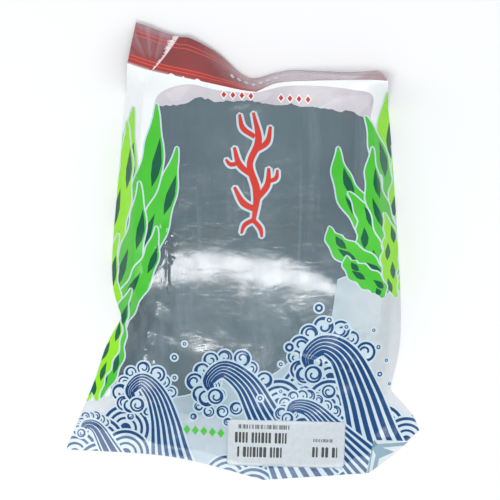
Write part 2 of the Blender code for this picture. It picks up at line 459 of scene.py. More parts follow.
# Blades of seaweed beside the window: layer, foot, tip, sideways sway and width.
BLADES = [
    ("lime", (-92, -88), (-76, -44), 2, 9),
    ("lime", (-84, -62), (-72, 66), 0, 19),
    ("lime", (-80, -60), (-64, 84), 1, 20),
    ("lime", (-82, -72), (-75, 50), -2, 14),
    ("green", (-73, -50), (-50, 85), -3, 18),
    ("green", (-72, -50), (-38, 60), -2, 16),
    ("lime", (-78, -36), (-68, 76), -2, 12),
    ("green", (-79, -70), (-60, 40), -3, 15),
    ("green", (-78, -62), (-50, 14), -3, 13),
    ("lime", (-82, -76), (-73, 10), 3, 13),
    ("green", (-84, -86), (-65, -22), 2, 11),
    ("lime", (-86, -88), (-74, -34), -2, 10),
    ("lime", (90, -16), (84, 92), 2, 17),
    ("green", (88, -20), (71, 78), -4, 16),
    ("lime", (92, -18), (88, 62), -3, 13),
    ("green", (86, -21), (55, 60), 5, 16),
    ("lime", (91, -23), (80, 44), 4, 13),
    ("green", (85, -24), (61, 34), -4, 15),
    ("green", (80, -22), (50, 14), 4, 14),
    ("green", (88, -23), (75, 60), 3, 13),
    ("lime", (90, -27), (82, 22), -2, 11),
    ("green", (81, -27), (60, -3), 3, 12),
]
BLADE_RUFFLE = 0.7
BLADE_WAVES = 5.0
BLADE_WIDTHS = (0.16, 0.6, 0.92, 1.0, 0.86, 0.55, 0.06)
SLITS = ((0.06, 0.24), (0.22, 0.44), (0.44, 0.66), (0.64, 0.86))

# Wave scales: overlapping ringed discs, a plain traditional pattern.
SCALE_RADIUS = 15.0
SCALE_RINGS = (("foam", 0.0), ("blue", 1.1), ("foam", 2.9), ("blue", 4.6), ("foam", 6.2), ("blue", 8.2),
               ("foam", 9.6), ("blue", 11.8))


# The line that the pale ground under the waves reaches up to.
GROUND = [(-106, -96), (-92, -90), (-80, -86), (-64, -84), (-52, -86), (-40, -86), (-30, -84), (-18, -78),
          (-4, -74), (14, -74), (27, -65), (38, -54), (49, -44), (54, -34), (57, -16), (106, -16)]


def ground_top(x):
    """The height of the ground's top at a place across the pouch, in millimetres."""
    line = smooth_line(GROUND)
    return float(np.interp(x, line[:, 0], line[:, 1]))


def wave_scales():
    """Rows of ringed discs along the bottom edge, each row over the one behind it."""
    shapes = []
    for row in range(-6, 8):
        y = -104.0 - row * SCALE_RADIUS * 0.5
        shift = SCALE_RADIUS if row % 2 else 0.0
        for column in range(-4, 5):
            x = column * 2 * SCALE_RADIUS + shift - 9.0
            cleared = CLEARING[0] < x < CLEARING[1] and y + SCALE_RADIUS > CLEARING_FOOT
            if y + SCALE_RADIUS < ground_top(x) - 3 and not cleared and (row >= 0 or 0 < x < 60):
                shapes += [(layer, disc(x, y, SCALE_RADIUS - inset, 40)) for layer, inset in SCALE_RINGS]
    return shapes


# Breaking waves, from back to front: the middle line from the foot over the top to the tip, the width at
# even steps along it, and the size of the foam's curls.
BREAKERS = [
    ([(88, -140), (77, -110), (69, -84), (59, -62), (47, -55), (38, -62), (41, -72)], [38, 29, 23, 17, 12, 8, 3], 4.4),
    ([(38, -140), (25, -117), (13, -98), (2, -78), (-11, -69), (-20, -76), (-16, -85)], [36, 26, 19, 14, 10, 7, 2], 4.0),
    ([(84, -138), (64, -118), (51, -104), (40, -93), (30, -91), (26, -98)], [26, 20, 14, 10, 7, 2], 3.0),
    ([(-39, -138), (-43, -118), (-46, -99), (-51, -84), (-59, -76), (-66, -82), (-62, -90)], [28, 22, 16, 12, 9, 6, 2], 3.7),
    ([(-74, -126), (-80, -114), (-86, -104), (-92, -102), (-95, -107)], [14, 10, 7, 5, 2], 2.2),
]
# Ribs of a wave: how far off its middle line each is, and the share of its length that it runs to.
RIBS = ((-0.72, 0.8), (-0.36, 0.9), (0.0, 0.95), (0.36, 0.84), (0.72, 0.66))
FRINGE = 9
SPRAY = [((44, -33), 2.4), ((-40, -62), 1.6), ((-34, -54), 1.1), ((27, -56), 2.6), ((22, -66), 1.2), ((50, -40), 1.5), ((60, -44), 1.1),
         ((79, -56), 1.3), ((84, -64), 1.0), ((80, -72), 1.5), ((86, -78), 0.9), ((76, -46), 1.0), ((-40, -74), 1.2),
         ((10, -86), 1.4), ((22, -82), 1.0), ((-100, -104), 0.9)]


def sides(line):
    """The unit vector to the left of a line at each of its points."""
    tangent = np.gradient(line, axis=0)
    tangent /= np.linalg.norm(tangent, axis=1)[:, None]
    return np.stack([-tangent[:, 1], tangent[:, 0]], -1)


def band(line, halves, lane=0.0, thin=None):
    """A band along a line with its half width at each place, or one thin lane inside that band."""
    side = sides(line)
    halves = np.reshape(halves, (-1, 1))
    middle = line + side * halves * lane
    reach = side * (halves if thin is None else np.reshape(thin, (-1, 1)))
    return np.vstack([middle + reach, (middle - reach)[::-1]])


def curl(x, y, radius, turn, hand):
    """A disc of foam with a blue rim that rolls in to its middle."""
    line = max(0.26 * radius, 0.8)
    rim = [("foam", disc(x, y, radius + 1.0)), ("blue", disc(x, y, radius)), ("foam", disc(x, y, radius - line))]
    share = np.linspace(0, 1, 22)
    angle = turn + hand * 2 * math.pi * 0.9 * share
    reach = (radius - line / 2) * (1 - 0.8 * share)
    spiral = np.stack([x + reach * np.cos(angle), y + reach * np.sin(angle)], -1)
    return rim + [("blue", band(spiral, line * (0.5 - 0.12 * share)))]


def breaker(draw, points, widths, size):
    """A ribbed wave that rises from its foot and bends over, with a fringe of foam curls round its top."""
    line = smooth_line(points, 12)
    share = np.linspace(0, 1, len(line))
    halves = np.interp(share, np.linspace(0, 1, len(widths)), widths) / 2
    side = sides(line)
    shapes = []
    for index in range(FRINGE):
        at = int((0.48 + 0.5 * index / (FRINGE - 1)) * (len(line) - 1))
        radius = size * draw.uniform(0.9, 1.35)
        x, y = line[at] - side[at] * (halves[at] + radius * draw.uniform(0.45, 0.95))
        shapes += curl(x, y, radius, draw.uniform(0, 6.28), 1 if index % 3 else -1)
    for index in range(3):
        at = int((0.86 + 0.07 * index) * (len(line) - 1))
        radius = size * draw.uniform(0.7, 1.0)
        x, y = line[at] + side[at] * (halves[at] + radius * 0.3)
        shapes += curl(x, y, radius, draw.uniform(0, 6.28), -1)
    shapes.append(("foam", band(line, halves + 1.2)))
    shapes.append(("blue", band(line, halves)))
    for lane, end in RIBS if widths[0] > 20 else RIBS[::2]:
        end = int(end * len(line))
        shapes.append(("foam", band(line[:end], halves[:end], lane, ((0.075 * halves + 0.12) * (1.06 - share))[:end])))
    return shapes + curl(*line[-1], size * 1.15, math.pi / 2, -1)


# Curls of foam that fall under the crests: places and sizes.
FALLING = [((-26, -91), 2.6), ((-20, -94), 3.2), ((-12, -94), 3.6), ((-4, -92), 3.8), ((-29, -97), 1.9), ((-9, -100), 2.4),
           ((36, -82), 3.2), ((43, -86), 3.6), ((50, -82), 4.0), ((34, -76), 2.4), ((-56, -94), 2.4), ((-66, -97), 2.0)]


def waves():
    """The breaking waves, and loose drops of spray."""
    draw = np.random.default_rng(SEED + 3)
    shapes = []
    for index, ((x, y), radius) in enumerate(FALLING):
        shapes += curl(x, y, radius, index * 2.4, 1 if index % 2 else -1)
    for given in BREAKERS:
        shapes += breaker(draw, *given)
    for (x, y), radius in SPRAY:
        shapes.append(("foam", disc(x, y, radius + 1.1, 18)))
        shapes.append(("blue", disc(x, y, radius, 14)))
        shapes.append(("foam", disc(x, y, radius * 0.45, 10)))
    return shapes


def blades():
    """Each blade in white outline, its colour, and a few dark slits beside its middle."""
    shapes = []
    for layer, foot, tip, sway, width in BLADES:
        share = np.linspace(0, 1, 9)[:, None]
        line = np.array(foot) * (1 - share) + np.array(tip) * share
        line[:, 0] += sway * np.sin(2 * math.pi * share[:, 0])
        widths = [width * part for part in BLADE_WIDTHS]
        shapes.append(("foam", ribbon(line, widths, BLADE_RUFFLE, BLADE_WAVES, OUTLINE)))
        shapes.append((layer, ribbon(line, widths, BLADE_RUFFLE, BLADE_WAVES)))
        fine = smooth_line(line, 14)
        for index, (first, last) in enumerate(SLITS):
            part = fine[int(first * len(fine)) : int(last * len(fine)) : 4]
            part = part + [(-0.17 + 0.34 * (index % 2)) * width, 0]
            shapes.append(("deep", ribbon(part, [0.05, 0.25 * width, 0.31 * width, 0.17 * width, 0.05], steps=4)))
    return shapes


# A branch of red coral down the middle of the window: stems as points and widths.
CORAL = [
    ([(6, 16), (8, 34), (4, 50), (9, 64), (6, 80)], [2.2, 4.6, 3.6, 4.2, 1.6]),
    ([(8, 30), (14, 38), (15, 48)], [3.4, 3.6, 1.8]),
    ([(5, 44), (-2, 50), (-5, 60)], [3.2, 3.6, 1.8]),
    ([(7, 58), (14, 63), (16, 72)], [3.0, 3.4, 1.7]),
    ([(7, 24), (0, 28), (-5, 37)], [3.4, 3.8, 1.8]),
    ([(7, 66), (0, 71), (-2, 79)], [2.8, 3.2, 1.6]),
    ([(14, 40), (19, 42), (20, 47)], [2.4, 2.6, 1.4]),
    ([(-2, 51), (-7, 50), (-10, 53)], [2.4, 2.6, 1.4]),
    ([(6, 18), (1, 15), (-1, 10)], [2.6, 2.6, 1.4]),
    ([(6, 18), (10, 13), (11, 8)], [2.6, 2.8, 1.4]),
]


def coral():
    shapes = [("foam", ribbon(points, widths, 0, 0, 1.3)) for points, widths in CORAL]
    return shapes + [("red", ribbon(points, widths)) for points, widths in CORAL]


def lozenge(x, y, reach):
    return np.array([(x + reach * 0.75, y), (x, y + reach), (x - reach * 0.75, y), (x, y - reach)], float)


def lozenges():
    """Small diamonds: two groups in red under the header."""
    shapes = []
    for group in (-11.0, 22.0):
        for index in range(4):
            x = group + 5.2 * index
            y = 89.4 - 0.06 * (x - 6)
            shapes.append(("white", lozenge(x, y, 2.9)))
            shapes.append(("red", lozenge(x, y, 1.9)))
    return shapes


# A part of the ground left of the sticker that stays free of scales: its reach across and its foot.
CLEARING = (-62, 8)
CLEARING_FOOT = -112.0


def foot_lozenges():
    """Green diamonds on the bare ground left of the sticker."""
    return [("green", lozenge(x, -105 - 0.11 * (x + 30), 2.8)) for x in np.linspace(-33, -13, 5)]


# The upper edge of the kelp, as seen from above.
KELP_TOP_EDGE = [(-72, 79), (-52, 83.4), (-47, 84), (-38, 85), (-31, 86), (-28, 88.2), (-24, 88.8), (-20, 88.2),
                 (-17, 86.4), (-6, 86.0), (4, 86.4), (16, 85.2), (28, 84.6), (40, 83.2), (50, 82), (57, 80.6),
                 (59, 81.4), (62, 80.8), (68, 78.4), (77, 75)]


# Facets of the film over the pale layer above the kelp, painted lighter than the rest of it: painted light where they
# catch the lamps.
FACETS = [
    [(42, 82), (57, 89.5), (74.4, 90.2), (74, 86.1), (66.5, 78)],
    [(-45, 90.7), (-39, 94.6), (-30.6, 95.6), (-35.8, 87.8), (-41, 86.2)],
    [(1, 89.5), (7.6, 91.7), (17.5, 91.6), (13, 87), (7.6, 86.2)],
]


def kelp_edge(x):
    """The kelp's ragged upper edge, in millimetres."""
    edge = np.array(KELP_TOP_EDGE, float)
    draw = np.random.default_rng(SEED + 9)
    coarse = draw.normal(0, 0.5, 30)
    fine = draw.normal(0, 0.3, 120)
    ragged = np.interp(x, np.linspace(-90, 90, 30), coarse) + np.interp(x, np.linspace(-90, 90, 120), fine)
    return np.interp(x, edge[:, 0], edge[:, 1]) + ragged


def window():
    """The bare part of the front panel: a pale mauve layer from the arch down to the kelp's edge, painted light that
    stands for the lit back panel seen through the film in place of the shade inside the pouch, and clear film below.
    """
    arch = smooth_line([(-52, 78), (-50, 89), (-42, 94.6), (-30, 96.5), (-14, 93.0), (6, 91.4), (24, 95.2),
                        (42, 95.4), (61, 93.6), (75, 90), (74, 78)])
    right = smooth_line([(76, 60), (74, 20), (70, -6), (60, -24), (56, -40), (48, -56)])
    low = smooth_line([(30, -88), (0, -92), (-40, -96), (-66, -98)])
    left = smooth_line([(-78, -88), (-76, -62), (-70, -42), (-60, 0), (-51, 50)])
    x = np.linspace(arch[0, 0], arch[-1, 0], 180)
    rise = np.minimum(np.interp(x, arch[:, 0], arch[:, 1]), kelp_edge(x))
    upper = np.stack([x, rise], -1)
    # Painted light: a pale mauve layer for the lit back panel seen through the film, with lighter painted facets on it.
    shapes = [("painted_back_light", np.vstack([arch, right, low, left]))]
    shapes += [("painted_facet_light", np.array(facet, float)) for facet in FACETS]
    return shapes + [("clear", np.vstack([upper, right, low, left]))]


def ground():
    """The pale ground under the waves, a little wider than they are."""
    line = [(x, ground_top(x)) for x in np.linspace(-104, 104, 60)]
    low = [(104, -140), (-104, -140)]
    rim = [(x, y + OUTLINE) for x, y in line]
    return [("foam", np.array(rim + low)), ("pale", np.array(line + low))]


# Where the film folds over at the bottom right corner and shows the ghost of its print.
CORNER_FOLD = [(77, -111), (96.4, -111.7), (105, -104), (112, -112), (76, -142), (72.3, -131)]
GHOST_PRINT = [
    [(77, -111), (79, -113.5), (97, -112.2), (95, -114.4), (82, -115.6), (89, -118), (80, -122), (78, -131),
     (75.5, -131), (78, -120), (76, -116)],
    [(76.4, -112), (77.2, -112), (74, -131), (72.8, -131)],
]


def folded_corner():
    shapes = [("pale", np.array(CORNER_FOLD, float))]
    return shapes + [("faint", np.array(polygon, float)) for polygon in GHOST_PRINT]


# Header stripes, as shares of its height from the neck, and their width.
HEADER_STRIPES = (0.11, 0.19, 0.69, 0.79)
HEADER_STRIPE_WIDTH = 0.022


HEADER_STRIPES_END = 0.5
# Chips in the ink along the header's foot: from, to and height, in millimetres.
HEADER_CHIPS = ((26.0, 32.0, 1.0), (35.0, 37.5, 0.8), (43.0, 48.0, 1.1))


def header_crease():
    """The sharp fold in the header's left end, painted as a pale highlight where the ink has also cracked: straight
    behind, ragged in front.
    """
    draw = np.random.default_rng(SEED + 5)
    share = np.linspace(0, 1, 90)
    middle = (PLEAT_ACROSS + PLEAT_LEAN * pleat_bow(share)) * FLAT_WIDTH
    height = FLAT_LENGTH * (1 + (HEADER_END_UP - 1) * share)
    width = 0.3 + 2.6 * share**0.8
    ragged = width * (0.55 + 1.1 * draw.random(len(share)) ** 3 + 0.3 * np.sin(9 * share + 1))
    left = np.stack([middle - ragged, height], -1)
    right = np.stack([middle + 0.3 * width, height], -1)
    return np.vstack([left, right[::-1]])


def taper(polygon):
    """A run along the header, cut off on a slant where its stripes are lost in the sheen."""
    end = FLAT_WIDTH * HEADER_STRIPES_END
    polygon = polygon.copy()
    polygon[1:3, 0] = end + 8, end - 2
    return polygon


def header_shapes():
    """The header's fields, already on the flat film: a maroon ground, a redder foot and thin stripes."""
    def band(first, last):
        low = FLAT_LENGTH * (1 + (HEADER_END_UP - 1) * first)
        high = FLAT_LENGTH * (1 + (HEADER_END_UP - 1) * last)
        return np.array([(0, low), (FLAT_WIDTH, low), (FLAT_WIDTH, high), (0, high)])

    shapes = [("maroon", band(0, 1)), ("brick", taper(band(0, 0.24)))]
    for share in HEADER_STRIPES:
        shapes.append(("stripe", taper(band(share, share + HEADER_STRIPE_WIDTH))))
    for first, last, high in HEADER_CHIPS:
        chip = smooth_line([(first, -0.4), (first * 0.6 + last * 0.4, high), (last, -0.4)], 6) + [0, FLAT_LENGTH]
        shapes.append(("white", np.maximum(chip, [0, FLAT_LENGTH])))
    # The crease: a painted highlight, with ink cracked white along it.
    shapes.append(("scuffs_and_sheen", header_crease()))
    height = FLAT_LENGTH * (1 + (HEADER_END_UP - 1) * 0.46)
    for index in range(7):
        shapes.append(("foam", lozenge(FLAT_WIDTH * 0.5 + (index - 3) * 5.0, height, 2.4)))
    return shapes


def flatten(polygon):
    """A polygon seen from above, moved onto the flat film; finer where it may cross the bottom edge."""
    if polygon[:, 1].min() < -100:
        polygon = even_steps(polygon, most=1.2)
    across, up = locate(polygon[:, 0] * MM, polygon[:, 1] * MM)
    return np.stack([across * FLAT_WIDTH, up * FLAT_LENGTH], -1)


def front_print():
    drawn = window() + coral() + lozenges() + ground() + wave_scales() + waves() + blades() + foot_lozenges()
    drawn += folded_corner()
    return [(layer, flatten(polygon)) for layer, polygon in drawn] + header_shapes()


def back_print():
    return header_shapes()


def painted_sheen_and_paling(across, up):
    """How far the ink turns paler: a painted sheen in streaks at the header's left end, along its top and over its
    whole right half, and paler towards the pouch's sides.
    """
    share = np.clip((up - 1) / (HEADER_END_UP - 1), 0, 1)
    off = across - PLEAT_ACROSS - PLEAT_LEAN * pleat_bow(share)
    turn = np.arctan2(share * 25, (across - PLEAT_ACROSS) * FLAT_WIDTH)
    streaks = 0.5 + 0.3 * np.sin(14 * turn + 0.6) + 0.2 * np.sin(31 * turn)
    left = (0.03 + 0.3 * streaks) * smoothstep(0.1, 0.5, share) + 0.25 * smoothstep(0.78, 0.95, share)
    left = left * smoothstep(0.004, -0.02, off)
    turning = 0.4 * smoothstep(0.26, 0.5, across) * smoothstep(0.3, 1.0, share)
    right = smoothstep(0.42, 0.66, across) * (1.0 - 0.55 * smoothstep(0.5, 0.62, share + 0.6 * (across - 0.75)))
    right = right * (1 - 0.75 * smoothstep(0.85, 0.9, across - 0.1 * share))
    sides = smoothstep(0.32, 0.04, np.minimum(across, 1 - across))
    return np.where(up > 1, np.clip(left + turning + right, 0, 1), sides)


# ---------------------------------------------------------------- meshes

# Print layers, with painted light among them: a pale layer and lighter facets above the kelp, and the header crease's
# highlight.
LAYERS = ["white", "clear", "pale", "foam", "lime", "green", "deep", "blue", "red", "maroon", "brick", "stripe",
          "scuffs_and_sheen", "faint", "painted_back_light", "painted_facet_light"]


def even_steps(polygon, least=0.02, most=1.6):
    """The polygon without points that fall on the one before them, and with long sides divided."""
    steps = np.linalg.norm(polygon - np.roll(polygon, 1, axis=0), axis=1)
    polygon = polygon[steps > least]
    places = []
    for start, end in zip(polygon, np.roll(polygon, -1, axis=0)):
        parts = max(1, math.ceil(np.linalg.norm(end - start) / most))
        places += [start + (end - start) * part / parts for part in range(parts)]
    return np.array(places).reshape(-1, 2)


def inside(polygon, places):
    """Which places the polygon winds around."""
    x, y = places[:, :1], places[:, 1:]
    x0, y0 = polygon[:, 0], polygon[:, 1]
    x1, y1 = np.roll(x0, -1), np.roll(y0, -1)
    cross = (x1 - x0) * (y - y0) - (x - x0) * (y1 - y0)
    up = (y0 <= y) & (y1 > y) & (cross > 0)
    down = (y0 > y) & (y1 <= y) & (cross < 0)
    return up.sum(1) != down.sum(1)


def cut_sheet(grid, polygons):
    """Triangles over a grid, cut along polygons: places, triangles and the last polygon over each or -1."""
    points = [grid]
    count = len(grid)
    edges = []
    for polygon in polygons:
        points.append(polygon)
        ring = list(range(count, count + len(polygon)))
        edges += list(zip(ring, ring[1:] + ring[:1]))
        count += len(polygon)
    found = delaunay_2d_cdt([Vector(point) for point in np.vstack(points)], edges, [], 0, 1e-4)
    places = np.array([tuple(place) for place in found[0]])
    triangles = np.array([tuple(face) for face in found[2]])
    middles = places[triangles].mean(1)
    owner = np.full(len(triangles), -1)
    for index, polygon in enumerate(polygons):
        low, high = polygon.min(0), polygon.max(0)
        near = np.flatnonzero(((middles > low) & (middles < high)).all(1))
        if len(near):
            owner[near[inside(polygon, middles[near])]] = index
    return places, triangles, owner


def flat_grid(spacing):
    """Places spread evenly over the flat film, with its edges and the neck line exactly on the grid."""
    across = np.linspace(0, FLAT_WIDTH, round(FLAT_WIDTH / spacing) + 1)
    body = np.linspace(0, FLAT_LENGTH, round(FLAT_LENGTH / spacing) + 1)
    top = FLAT_LENGTH * HEADER_END_UP
    header = np.linspace(FLAT_LENGTH, top, round((top - FLAT_LENGTH) / spacing) + 1)[1:]
    x, y = np.meshgrid(across, np.concatenate([body, header]))
    return np.stack([x.ravel(), y.ravel()], -1)


def film_piece(name, shapes, materials, front, spacing):
    """One film of the pouch, triangulated along the outlines of its print."""
    corner = [FLAT_WIDTH, FLAT_LENGTH * HEADER_END_UP]
    cut = [(layer, even_steps(np.clip(polygon, [0, 0], corner))) for layer, polygon in shapes]
    cut = [(layer, polygon) for layer, polygon in cut if len(polygon) > 2]
    flat, triangles, owner = cut_sheet(flat_grid(spacing), [polygon for _, polygon in cut])
    across = np.clip(flat[:, 0] / FLAT_WIDTH, 0, 1)
    up = np.clip(flat[:, 1] / FLAT_LENGTH, 0, HEADER_END_UP)
    places = surface(across, up, front)
    if not front:
        triangles = triangles[:, ::-1]
    mesh = bpy.data.meshes.new(name)
    mesh.from_pydata(places.tolist(), [], triangles.tolist())
    for layer in LAYERS:
        mesh.materials.append(materials[layer])
    mesh.polygons.foreach_set("material_index", [LAYERS.index(cut[i][0]) if i >= 0 else 0 for i in owner])
    uv = mesh.uv_layers.new(name="OFBake")
    corner = np.zeros(len(mesh.loops), np.int32)
    mesh.loops.foreach_get("vertex_index", corner)
    flat_uv = np.stack([across, up / HEADER_END_UP], -1)[corner]
    uv.data.foreach_set("uv", flat_uv.ravel())
    # Painted sheen on the header, and paleness towards the sides, kept on the mesh for the inks to blend by.
    paleness = mesh.attributes.new("painted_sheen_and_paling", "FLOAT", "POINT")
    paleness.data.foreach_set("value", painted_sheen_and_paling(across, up).astype(np.float32))
    mesh.shade_smooth()
    mesh.normals_split_custom_set_from_vertices(surface_normals(across, up, front).tolist())
    mesh.update()
    piece = bpy.data.objects.new(name, mesh)
    bpy.context.scene.collection.objects.link(piece)
    return piece


def grid_piece(name, tops, bottoms, material):
    """A closed thin piece between two grids of places, of the same rows and columns."""
    rows, columns = tops.shape[:2]
    places = np.vstack([tops.reshape(-1, 3), bottoms.reshape(-1, 3)])
    lower = rows * columns
    faces = []
    for r in range(rows - 1):
        for c in range(columns - 1):
            a = r * columns + c
            quad = (a, a + 1, a + columns + 1, a + columns)
            faces.append(quad)
            faces.append(tuple(lower + i for i in reversed(quad)))
    rim = [c for c in range(columns)]
    rim += [r * columns + columns - 1 for r in range(1, rows)]
    rim += [(rows - 1) * columns + c for c in range(columns - 2, -1, -1)]
    rim += [r * columns for r in range(rows - 2, 0, -1)]
    for a, b in zip(rim, rim[1:] + rim[:1]):
        faces.append((a, lower + a, lower + b, b))
    mesh = bpy.data.meshes.new(name)
    mesh.from_pydata(places.tolist(), [], faces)
    mesh.materials.append(material)
    mesh.shade_smooth()
    mesh.set_sharp_from_angle(angle=math.radians(50))
    piece = bpy.data.objects.new(name, mesh)
    bpy.context.scene.collection.objects.link(piece)
    return piece


# ---------------------------------------------------------------- kelp sheets

KELP_THICKNESS = 0.8 * MM
KELP_GAP = 0.5 * MM
KELP_SPACING = 6 * MM
KELP_FOOT_UP = 0.16
LEAST_ROOM = 3.6 * MM
KELP_FOOT = -97.0
KELP_LEVELS = (0.95, 0.79, 0.63, 0.47, 0.31, 0.15)



def kelp_sheet(name, draw, inset, share, material):
    """One flat dried sheet at its own share of the pouch's depth, with an uneven outline."""
    phase = draw.uniform(0, 6.28, 12)

    def uneven(t, first, size):
        return size * (np.sin(t * 0.11 + phase[first]) + 0.5 * np.sin(t * 0.37 + phase[first + 1]))

    gu, gv = np.meshgrid(np.linspace(0, 1, 96), np.linspace(0, 1, 116))
    row_up = KELP_FOOT_UP + (1 - KELP_FOOT_UP) * gv
    fold = FOLD_BOTTOM + (FOLD_TOP - FOLD_BOTTOM) * smoothstep(0.0, BEND_UP, row_up)
    room = LEAST_ROOM / (BODY_DEPTH * FOLD_HEIGHT * length_share(np.minimum(row_up, NECK_START_UP)))
    side = fold * np.maximum(share, room) + 0.012
    left = side + inset[0] + uneven(gv * 180, 0, 0.004)
    right = 1 - side - inset[1] + uneven(gv * 180, 2, 0.004)
    across = left + (right - left) * gu
    up = row_up.copy()
    for _ in range(10):
        x, y = np.moveaxis(plan(across, up), -1, 0) / MM
        low = KELP_FOOT + inset[2] * 165 + uneven(x, 4, 1.4)
        high = kelp_edge(x) + 0.4 - inset[3] * 165 + uneven(x, 6, 0.2)
        up += (low + (high - low) * gv - y) / FLAT_LENGTH
    depth = BODY_DEPTH * panel_share(across, up) * length_share(np.minimum(up, NECK_START_UP), across)
    wave = 0.25 * np.sin(x / 11 + phase[8]) * np.sin(y / 17 + phase[9]) + 0.12 * np.sin(x / 4.1 + phase[10])
    wave += 0.1 * np.sin(y / 5.3 + 0.3 * x / 5 + phase[11])
    film = surface(across, up)[..., 2]
    below = KELP_GAP + (KELP_LEVELS[0] - share) * KELP_SPACING
    z = np.minimum(depth * share + wave * MM, film - below)
    z = np.maximum(z, KELP_THICKNESS + 0.6 * MM)
    tops = np.stack([x * MM, y * MM, z], -1)
    bottoms = tops - np.array([0, 0, KELP_THICKNESS])
    return grid_piece(name, tops, bottoms, material)


# ---------------------------------------------------------------- materials


class Nodes:
    """A small helper to build a node material."""

    def __init__(self, name):
        self.material = bpy.data.materials.new(name)
        self.material.use_nodes = True
        self.tree = self.material.node_tree
        self.shader = self.tree.nodes["Principled BSDF"]
        self.output = self.tree.nodes["Material Output"]
        self.place = self.tree.nodes.new("ShaderNodeTexCoord").outputs["Object"]

    def add(self, kind, **values):
        node = self.tree.nodes.new(kind)
        for key, value in values.items():
            setattr(node, key, value)
        return node

    def link(self, source, target):
        self.tree.links.new(source, target)

    def noise(self, scale, detail=4.0, rough=0.5, stretch=(1, 1, 1), distortion=0.0):
        mapping = self.add("ShaderNodeMapping")
        mapping.inputs["Scale"].default_value = stretch
        self.link(self.place, mapping.inputs["Vector"])
        noise = self.add("ShaderNodeTexNoise")
        noise.inputs["Scale"].default_value = scale
        noise.inputs["Detail"].default_value = detail
        noise.inputs["Roughness"].default_value = rough
        noise.inputs["Distortion"].default_value = distortion
        self.link(mapping.outputs[0], noise.inputs["Vector"])
        return noise.outputs["Fac"]

    def ramp(self, source, *stops):
        """Colours at given shares of a value; each stop is (share, colour)."""
        node = self.add("ShaderNodeValToRGB")
        elements = node.color_ramp.elements
        while len(elements) < len(stops):
            elements.new(0.5)
        for element, (share, colour) in zip(elements, stops):
            element.position = share
            element.color = (*colour, 1) if len(colour) == 3 else colour
        self.link(source, node.inputs[0])
        return node.outputs["Color"]

    def remap(self, source, low, high, to_low, to_high):
        node = self.add("ShaderNodeMapRange")
        node.inputs["From Min"].default_value = low
        node.inputs["From Max"].default_value = high
        node.inputs["To Min"].default_value = to_low
        node.inputs["To Max"].default_value = to_high
        self.link(source, node.inputs["Value"])
        return node.outputs["Result"]

    def blend_colours(self, first, second, share):
        node = self.add("ShaderNodeMix", data_type="RGBA")
        if isinstance(share, float):
            node.inputs["Factor"].default_value = share
        else:
            self.link(share, node.inputs["Factor"])
        self.link(first, node.inputs[6])
        self.link(second, node.inputs[7])
        return node.outputs[2]

    def bump(self, source, strength, distance, before=None):
        node = self.add("ShaderNodeBump")
        node.inputs["Strength"].default_value = strength
        node.inputs["Distance"].default_value = distance
        self.link(source, node.inputs["Height"])
        if before:
            self.link(before, node.inputs["Normal"])
        return node.outputs["Normal"]


def grey(value):
    return (value, value, value)


def film_bump(nodes, crumple):
    """The fine crinkle of thin plastic: soft dents, then coarse and fine."""
    dents = nodes.bump(nodes.noise(85, 4, 0.6, (0.6, 1.4, 1.0), 0.6), crumple, 0.001)
    coarse = nodes.bump(nodes.noise(170, 3, 0.5), 0.14, 0.0005, dents)
    return nodes.bump(nodes.noise(900, 2, 0.5), 0.03, 0.0002, coarse)


# The colours that the paling attribute turns an ink to: a painted mauve sheen in the header, and nearly white towards
# the pouch's sides.
MAUVE = ((0.5, 0.42, 0.46), (0.58, 0.51, 0.55))
PALER = ((0.78, 0.85, 0.88), (0.84, 0.9, 0.92))


def film_material(name, dark, light, cover, roughness=0.16, ior=1.6, sheen_and_pale_share=0.0, scuffs_and_sheen=MAUVE, crumple=0.08):
    """Printed or bare film: part see-through, part its own colour, with a glossy skin."""
    nodes = Nodes(name)
    shader = nodes.shader
    ink = nodes.ramp(nodes.noise(28, 4, 0.55), (0.3, dark), (0.7, light))
    # Painted sheen: the header's inks blend towards pale mauve by the mesh's paling attribute, and inks turn paler
    # towards the pouch's sides.
    if sheen_and_pale_share:
        sheen_and_pale_tint = nodes.ramp(nodes.noise(300, 3, 0.6), (0.3, scuffs_and_sheen[0]), (0.7, scuffs_and_sheen[1]))
        share = nodes.add("ShaderNodeAttribute", attribute_name="painted_sheen_and_paling").outputs["Fac"]
        ink = nodes.blend_colours(ink, sheen_and_pale_tint, nodes.remap(share, 0, 1, 0, sheen_and_pale_share))
    nodes.link(ink, shader.inputs["Base Color"])
    shader.inputs["IOR"].default_value = ior
    rough = nodes.remap(nodes.noise(60, 3), 0.3, 0.7, roughness * 0.8, roughness * 1.25)
    nodes.link(rough, shader.inputs["Roughness"])
    nodes.link(film_bump(nodes, crumple), shader.inputs["Normal"])
    clear = nodes.add("ShaderNodeBsdfTransparent")
    mix = nodes.add("ShaderNodeMixShader")
    low, high = cover
    nodes.link(nodes.remap(nodes.noise(22, 3, 0.6), 0.3, 0.7, low, high), mix.inputs["Fac"])
    nodes.link(clear.outputs[0], mix.inputs[1])
    nodes.link(shader.outputs[0], mix.inputs[2])
    nodes.link(mix.outputs[0], nodes.output.inputs["Surface"])
    return nodes.material


